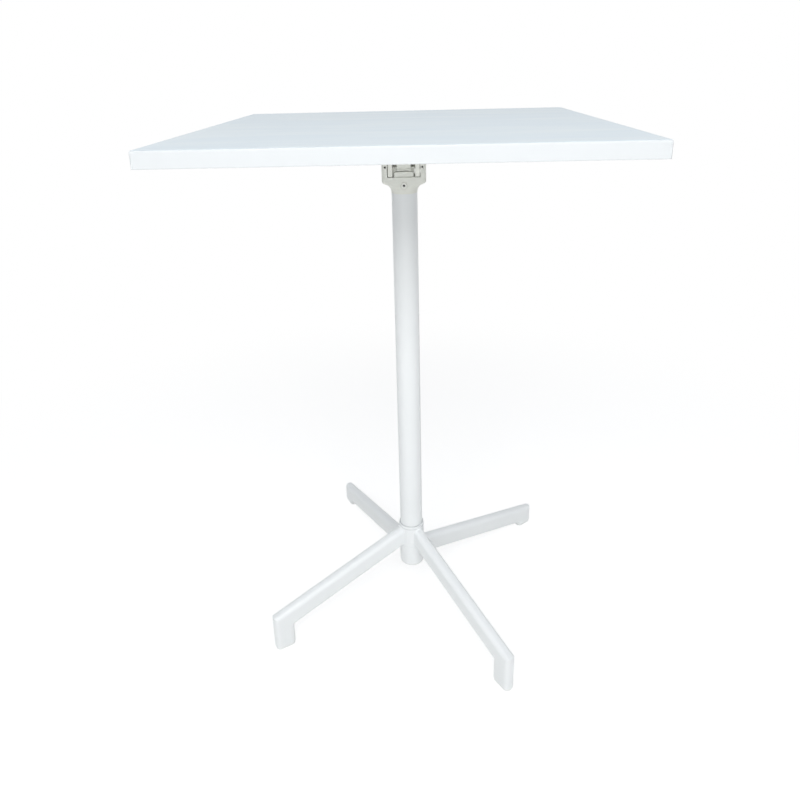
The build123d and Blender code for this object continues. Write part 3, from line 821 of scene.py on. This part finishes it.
@dataclass
class TableTop(Assembly):
    """The pressed top with its stiffeners, and the bracket screwed under it."""

    underside: float = 1038.5 * MILLIMETRE
    sheet: float = 1.5 * MILLIMETRE
    rail_line: float = 38.0 * MILLIMETRE
    rail_flange: float = 22.7 * MILLIMETRE
    rail_reach: float = 192.0 * MILLIMETRE
    rib_line: float = 236.5 * MILLIMETRE
    rib_flange: float = 20.7 * MILLIMETRE
    rib_reach: float = 332.0 * MILLIMETRE
    spot_pitch: float = 60.0 * MILLIMETRE
    spot_radius: float = 3.2 * MILLIMETRE
    spot_crown_share: float = 0.6
    spot_height: float = 0.3 * MILLIMETRE
    spot_sides: int = 14
    lip_height: float = 1015.0 * MILLIMETRE
    lip_corner: float = 349.0 * MILLIMETRE
    lip_weld_length: float = 17.0 * MILLIMETRE
    lip_weld_width: float = 1.8 * MILLIMETRE
    lip_weld_height: float = 0.5 * MILLIMETRE
    plate_underside: float = 1014.5 * MILLIMETRE
    screw_line: tuple[float, float] = (45.0 * MILLIMETRE, 38.0 * MILLIMETRE)
    screw_radius: float = 3.0 * MILLIMETRE
    screw_length: float = 10.5 * MILLIMETRE
    tip_radius_share: float = 0.8
    tip_start_share: float = 0.94
    head_radius: float = 5.5 * MILLIMETRE
    head_height: float = 3.3 * MILLIMETRE
    head_rounding_share: float = 0.4
    head_rounding_steps: int = 4
    socket_radius: float = 2.3 * MILLIMETRE
    socket_depth: float = 2.0 * MILLIMETRE
    screw_sides: int = 36

    def dress(self) -> None:
        """Paints the tray, its stiffeners and the bracket."""
        self._paint(self.shelf.tray, "top_tray")
        self._paint(self.shelf.frame, "front_rail", "rear_rail", "left_rib", "right_rib")
        # The bracket gets the lighter copy of the cast paint: painted light on its ears.
        self._paint(self.shelf.bracket, "tilt_bracket")
        self._paint(self.shelf.zinc, "bracket_nuts")

    def build(self) -> None:
        """Adds the spot welds, the welds of the lips and the screw heads."""
        self._spot_welds()
        self._lip_welds()
        self._screws()

    def _spot_places(self) -> list[tuple[float, float]]:
        """Lists where the spot welds are.

        Returns:
            X and Y of each weld.
        """
        places = []
        for side in (-1, 1):
            for edge in (-1, 1):
                across = side * self.rail_line + edge * self.rail_flange
                along = side * self.rib_line + edge * self.rib_flange
                places += [(x, across) for x in self._row(self.rail_reach)]
                places += [(along, y) for y in self._row(self.rib_reach)]
        return places

    def _row(self, reach: float) -> list[float]:
        """Spaces a row of welds evenly.

        Args:
            reach: How far from the middle the row goes.

        Returns:
            The places along the row.
        """
        count = round(2 * reach / self.spot_pitch)
        return [-reach + 2 * reach * number / count for number in range(count + 1)]

    def _spot_welds(self) -> None:
        """Makes the shallow domes of the spot welds on the flanges of rails and ribs."""
        mesh = bmesh.new()
        level = self.underside - self.sheet
        for x, y in self._spot_places():
            bmesh.ops.create_cone(
                mesh,
                cap_ends=True,
                segments=self.spot_sides,
                radius1=self.spot_radius * self.spot_crown_share,
                radius2=self.spot_radius,
                depth=2 * self.spot_height,
                matrix=Matrix.Translation((x, y, level)),
            )
        Piece("spot_welds", self.shelf.frame, Body.TOP, Slot.POWDER_COAT).make(mesh)

    def _lip_welds(self) -> None:
        """Makes the ground welds where the rim's lips meet in the corners."""
        mesh = bmesh.new()
        size = (self.lip_weld_length, self.lip_weld_width, self.lip_weld_height)
        shape = Matrix.Diagonal((*size, 1.0))
        reach = self.lip_corner * math.sqrt(2) - self.lip_weld_length / 2
        for number in range(4):
            turn = Matrix.Rotation(math.radians(45 + 90 * number), 4, "Z")
            outward = turn @ Vector((reach, 0, 0))
            place = Matrix.Translation((*outward.xy, self.lip_height))
            made = bmesh.ops.create_cube(mesh, size=1.0, matrix=place @ turn @ shape)
            bmesh.ops.bevel(
                mesh,
                geom=ring_edges(made["verts"]),
                offset=self.lip_weld_height / 2,
                affect="EDGES",
                segments=2,
                profile=0.5,
                material=-1,
            )
        Piece("lip_welds", self.shelf.tray, Body.TOP, Slot.POWDER_COAT).make(mesh)

    def _screws(self) -> None:
        """Makes the four screws of the bracket, with rounded heads and hexagon sockets."""
        mesh = bmesh.new()
        rounding = self.head_height * self.head_rounding_share
        flat = self.head_radius - rounding
        profile = [
            (0.0, self.screw_length),
            (self.screw_radius * self.tip_radius_share, self.screw_length),
            (self.screw_radius, self.screw_length * self.tip_start_share),
            (self.screw_radius, 0.0),
            (self.head_radius, 0.0),
        ]
        for step in range(self.head_rounding_steps + 1):
            turn = math.pi / 2 * step / self.head_rounding_steps
            radius = flat + rounding * math.cos(turn)
            profile.append((radius, rounding - self.head_height - rounding * math.sin(turn)))
        for x in (-self.screw_line[0], self.screw_line[0]):
            for y in (-self.screw_line[1], self.screw_line[1]):
                place = Matrix.Translation((x, y, self.plate_underside))
                turned(mesh, profile, self.screw_sides, place)
                self._socket(mesh, place, flat)
        join_up(mesh)
        names = ("bracket_screws",)
        Piece("bracket_screw_set", self.shelf.zinc, Body.TOP, Slot.ZINC, names).make(mesh)

    def _socket(self, mesh: bmesh.types.BMesh, place: Matrix, flat: float) -> None:
        """Closes a screw head with its hexagon socket.

        Args:
            mesh: The mesh in the making.
            place: Where the screw goes.
            flat: The radius of the head's open end.
        """
        end = place @ Matrix.Translation((0, 0, -self.head_height))
        rim = bmesh.ops.create_circle(mesh, segments=self.screw_sides, radius=flat, matrix=end)
        mouth = bmesh.ops.create_circle(mesh, segments=6, radius=self.socket_radius, matrix=end)
        edges = ring_edges(rim["verts"]) + ring_edges(mouth["verts"])
        bmesh.ops.bridge_loops(mesh, edges=edges)
        wall = bmesh.ops.extrude_edge_only(mesh, edges=ring_edges(mouth["verts"]))["geom"]
        deep = of_kind(wall, bmesh.types.BMVert)
        bmesh.ops.translate(mesh, vec=(0, 0, self.socket_depth), verts=deep)
        bmesh.ops.contextual_create(mesh, geom=deep)


@dataclass
class TiltHead(Assembly):
    """The cast head, its pins, bumpers and the latch lever."""

    recess_floor: float = 37.5 * MILLIMETRE
    pivot: tuple[float, float] = (8.0 * MILLIMETRE, 965.0 * MILLIMETRE)
    stop: tuple[float, float] = (19.314 * MILLIMETRE, 976.314 * MILLIMETRE)
    ring_sizes: tuple[tuple[float, float], ...] = (
        (8.0 * MILLIMETRE, 5.02 * MILLIMETRE),
        (5.2 * MILLIMETRE, 3.02 * MILLIMETRE),
    )
    ring_sheet: float = 0.5 * MILLIMETRE
    ring_rise: float = 0.65 * MILLIMETRE
    tooth_count: int = 8
    tooth_steps: int = 6
    tooth_root_share: float = 0.4
    leaf_root: Triple = (0.0, -7.0 * MILLIMETRE, 1010.0 * MILLIMETRE)
    leaf_tip: Triple = (0.0, -20.0 * MILLIMETRE, 984.0 * MILLIMETRE)
    leaf_cuts: int = 14

    def dress(self) -> None:
        """Paints the castings and gives the small parts their metal, plastic or rubber."""
        shelf = self.shelf
        # The head and lever get the warmer copy of the white paint, painted warm bounce light.
        self._paint(shelf.head, "head_casting", "latch_lever")
        self._paint(shelf.head_screw, "head_screw")
        self._paint(shelf.zinc, "pivot_pin", "stop_pin", "lever_pin", "pin_lock_screws")
        self._paint(shelf.zinc, "spring_screw", "column_spigot")
        self._paint(shelf.nylon, "pivot_washers", "ear_bushings", "lever_spacers", "pivot_spacer")
        self._paint(shelf.rubber, "cheek_bumpers")

    def build(self) -> None:
        """Adds the toothed rings on the pins and the leaf spring."""
        self._push_rings()
        self._leaf_spring()

    def _leaf_spring(self) -> None:
        """Makes the leaf spring from the CAD part, with cuts across it."""
        mesh = bmesh.new()
        mesh.from_mesh(self.frame["nodes"]["lever_spring"].data)
        bmesh.ops.remove_doubles(mesh, verts=mesh.verts, dist=MERGE_DISTANCE)
        start, end = Vector(self.leaf_root), Vector(self.leaf_tip)
        for number in range(1, self.leaf_cuts):
            whole = mesh.verts[:] + mesh.edges[:] + mesh.faces[:]
            place = start.lerp(end, number / self.leaf_cuts)
            bmesh.ops.bisect_plane(mesh, geom=whole, plane_co=place, plane_no=end - start)
        bend = Bend(Body.LEVER, start, end)
        names = ("lever_spring",)
        Piece("lever_leaf", self.shelf.spring, Body.TOP, Slot.SPRING, names, bend).make(mesh)

    def _push_rings(self) -> None:
        """Makes the toothed rings that are pushed on the pins."""
        mesh = bmesh.new()
        for (outer, bore), (back, height) in zip(self.ring_sizes, (self.pivot, self.stop)):
            for side in (-1, 1):
                self._push_ring(mesh, outer, bore, Vector((0, back, height)), side)
        bmesh.ops.recalc_face_normals(mesh, faces=mesh.faces)
        bmesh.ops.solidify(mesh, geom=mesh.faces[:], thickness=self.ring_sheet)
        bmesh.ops.recalc_face_normals(mesh, faces=mesh.faces)
        Piece("push_rings", self.shelf.spring, Body.STAND, Slot.ZINC, ("pin_rings",)).make(mesh)

    def _push_ring(
        self, mesh: bmesh.types.BMesh, outer: float, bore: float, centre: Vector, side: int
    ) -> None:
        """Adds the middle sheet of one toothed ring.

        Args:
            mesh: The mesh in the making.
            outer: The ring's outer radius.
            bore: The radius of the circle of tooth tips.
            centre: The pin's place in the table's middle plane.
            side: Which cheek the ring is on, -1 or 1.
        """
        face = Vector((side * (self.recess_floor + self.ring_sheet / 2), 0, 0))
        turn = Matrix.Rotation(math.pi / 2, 4, "Y")
        place = Matrix.Translation(centre + face) @ turn
        sides = self.tooth_count * self.tooth_steps
        made = bmesh.ops.create_circle(mesh, segments=sides, radius=outer, matrix=place)
        edges = ring_edges(made["verts"])
        root = outer - (outer - bore) * self.tooth_root_share
        last = outer
        for radius, rise in ((root, 0.0), (bore, self.ring_rise)):
            band = bmesh.ops.extrude_edge_only(mesh, edges=edges)["geom"]
            verts = of_kind(band, bmesh.types.BMVert)
            shrink = Vector((1.0, radius / last, radius / last))
            bmesh.ops.scale(mesh, vec=shrink, verts=verts, space=Matrix.Translation(-centre - face))
            bmesh.ops.translate(mesh, vec=(side * rise, 0, 0), verts=verts)
            edges = of_kind(band, bmesh.types.BMEdge)
            teeth = of_kind(band, bmesh.types.BMFace)
            last = radius
        teeth.sort(key=lambda f: self._clock(f.calc_center_median() - centre))
        bmesh.ops.delete(mesh, geom=teeth[:: self.tooth_steps], context="FACES")

    @staticmethod
    def _clock(arm: Vector) -> float:
        """Gives the angle of a place round the pin's axis."""
        return math.atan2(arm.z, arm.y)


@dataclass(frozen=True)
class LegPlace:
    """Where one leg leaves the hub, with its angle and slope in degrees."""

    name: str
    angle: float
    root: float
    slope: float
    sleeve: float


@dataclass
class ColumnAndBase(Assembly):
    """The column, the hub at its foot and the four welded legs with their caps.

    The turn of the base, the spread of each pair of legs and their slopes are in degrees.
    """

    turn: float = -11.8
    front_spread: float = 46.5
    front_root: float = 161.6 * MILLIMETRE
    front_slope: float = 17.3
    rear_spread: float = 39.35
    rear_root: float = 113.8 * MILLIMETRE
    rear_slope: float = 13.3
    leg_size: tuple[float, float] = (23.0 * MILLIMETRE, 42.5 * MILLIMETRE)
    leg_corner: float = 10.0 * MILLIMETRE
    upper_sleeve: float = 27.3 * MILLIMETRE
    lower_sleeve: float = 26.3 * MILLIMETRE
    weld_pitch: float = 1.1 * MILLIMETRE
    bead: WeldBead = WeldBead()

    def leg_places(self) -> list[LegPlace]:
        """Lists the four legs.

        Returns:
            The legs, with the front pair first.
        """
        front, rear = -90 + self.turn, 90 + self.turn
        front_arm = (self.front_root, self.front_slope, self.upper_sleeve)
        rear_arm = (self.rear_root, self.rear_slope, self.lower_sleeve)
        return [
            LegPlace("front_left", front - self.front_spread, *front_arm),
            LegPlace("front_right", front + self.front_spread, *front_arm),
            LegPlace("rear_left", rear + self.rear_spread, *rear_arm),
            LegPlace("rear_right", rear - self.rear_spread, *rear_arm),
        ]

    def dress(self) -> None:
        """Paints the column, hub and legs, and gives the caps their plastic."""
        shelf = self.shelf
        names = [leg.name for leg in self.leg_places()]
        legs = [f"{name}_{part}" for name in names for part in ("arm", "post")]
        self._paint(shelf.hub, "column_tube", "column_collar")
        self._paint(shelf.hub, "upper_leg_sleeve", "lower_leg_sleeve")
        self._paint(shelf.frame, *legs)
        self._paint(shelf.zinc, "clamp_bolt", "clamp_nut_plate")
        self._paint(shelf.plastic, "base_cap", *(f"{name}_foot_cap" for name in names))

    def build(self) -> None:
        """Adds the welds that join the legs to their sleeves."""
        for leg in self.leg_places():
            piece = Piece(f"{leg.name}_weld", self.shelf.frame, Body.STAND, Slot.POWDER_COAT)
            self.bead.lay(self._root_line(leg), piece)

    def _section_point(self, share: float) -> tuple[float, float]:
        """Gives a point on the rounded oblong section of a leg.

        Args:
            share: How far round the section, from 0 to 1.

        Returns:
            The point's place across and up the section.
        """
        width, height = self.leg_size
        flat_x = width / 2 - self.leg_corner
        flat_y = height / 2 - self.leg_corner
        arc = math.pi / 2 * self.leg_corner
        spans = (2 * flat_y, arc, 2 * flat_x, arc) * 2
        far = share * sum(spans)
        number = 0
        while far > spans[number]:
            far -= spans[number]
            number += 1
        quarter = Matrix.Rotation(math.pi / 2 * (number // 2), 2)
        side_x, side_y = (flat_x, flat_y) if number // 2 % 2 == 0 else (flat_y, flat_x)
        if number % 2 == 0:
            point = Vector((side_x + self.leg_corner, far - side_y))
        else:
            turn = far / self.leg_corner
            bend = Vector((math.cos(turn), math.sin(turn))) * self.leg_corner
            point = Vector((side_x, side_y)) + bend
        return tuple(quarter @ point)

    def _root_line(self, leg: LegPlace) -> list[Vector]:
        """Gives the line where a leg meets its sleeve.

        Args:
            leg: The leg.

        Returns:
            Points round the leg, on the sleeve's surface, in whole ripples of the bead.
        """
        width, height = self.leg_size
        ripple = self.bead.points_a_ripple
        count = round(2 * (width + height) / self.weld_pitch / ripple) * ripple
        slope = math.radians(leg.slope)
        outward = Matrix.Rotation(math.radians(leg.angle), 3, "Z")
        line = []
        for number in range(count):
            across, up = self._section_point(number / count)
            reach = math.sqrt(leg.sleeve**2 - across**2)
            level = leg.root - reach * math.tan(slope) + up / math.cos(slope)
            line.append(outward @ Vector((reach, across, level)))
        return line


@dataclass(frozen=True)
class PhotographCamera:
    """The camera at the photograph's place, in front of the table and just above its top.

    It looks down by its fall. The focal length, the side of the square frame and the row of
    the lens's axis are in pixels, and the sensor's width in millimetres.
    """

    place: Triple = (0.0259, -1.2401, 1.137)
    yaw: float = math.radians(-1.8)
    fall: float = math.radians(19.0)
    roll: float = math.radians(1.4)
    focal: float = 667.0
    frame_side: float = 800.0
    axis_row: float = 296.0
    sensor: float = 36.0
    nearest: float = 0.01

    def make(self) -> bpy.types.Object:
        """Builds the camera and makes it the scene's own.

        Returns:
            The camera.
        """
        ahead = Vector((math.sin(self.yaw), math.cos(self.yaw), 0.0))
        forward = ahead * math.cos(self.fall) - Vector((0.0, 0.0, math.sin(self.fall)))
        level_right = Vector((math.cos(self.yaw), -math.sin(self.yaw), 0.0))
        level_down = forward.cross(level_right)
        right = level_right * math.cos(self.roll) + level_down * math.sin(self.roll)
        down = level_down * math.cos(self.roll) - level_right * math.sin(self.roll)
        lens = bpy.data.cameras.new("camera")
        lens.sensor_width = self.sensor
        lens.lens = self.focal / self.frame_side * self.sensor
        lens.shift_y = (self.axis_row - self.frame_side / 2) / self.frame_side
        lens.clip_start = self.nearest
        camera = bpy.data.objects.new("camera", lens)
        turn = Matrix((right, -down, -forward)).transposed()
        camera.matrix_world = Matrix.Translation(self.place) @ turn.to_4x4()
        bpy.context.scene.collection.objects.link(camera)
        bpy.context.scene.camera = camera
        return camera


@dataclass(frozen=True)
class Lamp:
    """A large rectangular lamp that faces a point. Its power is in watts."""

    name: str
    place: Triple
    target: Triple
    size: tuple[float, float]
    power: float

    def make(self) -> None:
        """Hangs the lamp."""
        light = bpy.data.lights.new(self.name, "AREA")
        light.shape = "RECTANGLE"
        light.size, light.size_y = self.size
        light.energy = self.power
        lamp = bpy.data.objects.new(self.name, light)
        lamp.location = self.place
        beam = Vector(self.target) - Vector(self.place)
        lamp.rotation_euler = beam.to_track_quat("-Z", "Y").to_euler()
        bpy.context.scene.collection.objects.link(lamp)


@dataclass(frozen=True)
class Studio:
    """The pale floor, the even light all round and the large soft lamps."""

    floor_side: float = 40.0
    horizon: Colour = (0.35, 0.36, 0.37)
    zenith: Colour = (0.5, 0.52, 0.54)
    zenith_start: float = 0.8
    lamps: tuple[Lamp, ...] = (
        Lamp("front_lamp", (0.0, -2.7, 2.9), (0.0, 0.0, 0.8), (2.6, 1.6), 63.0),
        Lamp("low_lamp", (0.0, -3.2, 0.8), (0.0, 0.0, 0.8), (2.4, 1.2), 16.0),
        Lamp("left_lamp", (-3.0, -0.6, 2.2), (0.0, 0.0, 0.5), (1.8, 1.8), 5.5),
        Lamp("right_lamp", (3.0, -0.6, 2.2), (0.0, 0.0, 0.5), (1.8, 1.8), 4.5),
    )

    def build(self) -> None:
        """Makes the floor, the world and the lamps."""
        self._floor()
        self._world()
        for lamp in self.lamps:
            lamp.make()

    def _floor(self) -> None:
        """Lays the floor."""
        mesh = bmesh.new()
        bmesh.ops.create_grid(mesh, x_segments=1, y_segments=1, size=self.floor_side / 2)
        data = bpy.data.meshes.new("floor")
        mesh.to_mesh(data)
        mesh.free()
        data.materials.append(FloorPaint().make("floor"))
        floor = bpy.data.objects.new("floor", data)
        bpy.context.scene.collection.objects.link(floor)

    def _world(self) -> None:
        """Makes the world, white to the eye and a soft sky to the table."""
        world = bpy.data.worlds.new("studio")
        bpy.context.scene.world = world
        graph = ShaderGraph(world)
        height = graph.axis(graph.node("ShaderNodeTexCoord", output="Generated"), "Z")
        sky = graph.tint(graph.step(height, 0.0, self.zenith_start), self.horizon, self.zenith)
        soft = graph.node("ShaderNodeBackground", None, {"Color": sky})
        white = graph.node("ShaderNodeBackground", None, {"Color": (1.0, 1.0, 1.0, 1.0)})
        mixed = graph.node("ShaderNodeMixShader", None, {0: graph.seen(), 1: soft, 2: white})
        graph.finish(mixed, "ShaderNodeOutputWorld")


def main() -> None:
    """Builds the scene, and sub-assembly by sub-assembly."""
    logging.basicConfig(level=logging.INFO, format="%(name)s: %(message)s")
    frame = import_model()
    shelf = FinishShelf()
    for assembly in (TableTop(shelf, frame), TiltHead(shelf, frame), ColumnAndBase(shelf, frame)):
        assembly.dress()
        assembly.build()
    Studio().build()
    PhotographCamera().make()
    bpy.context.scene.view_settings.view_transform = "Standard"


if __name__ == "__main__":
    main()
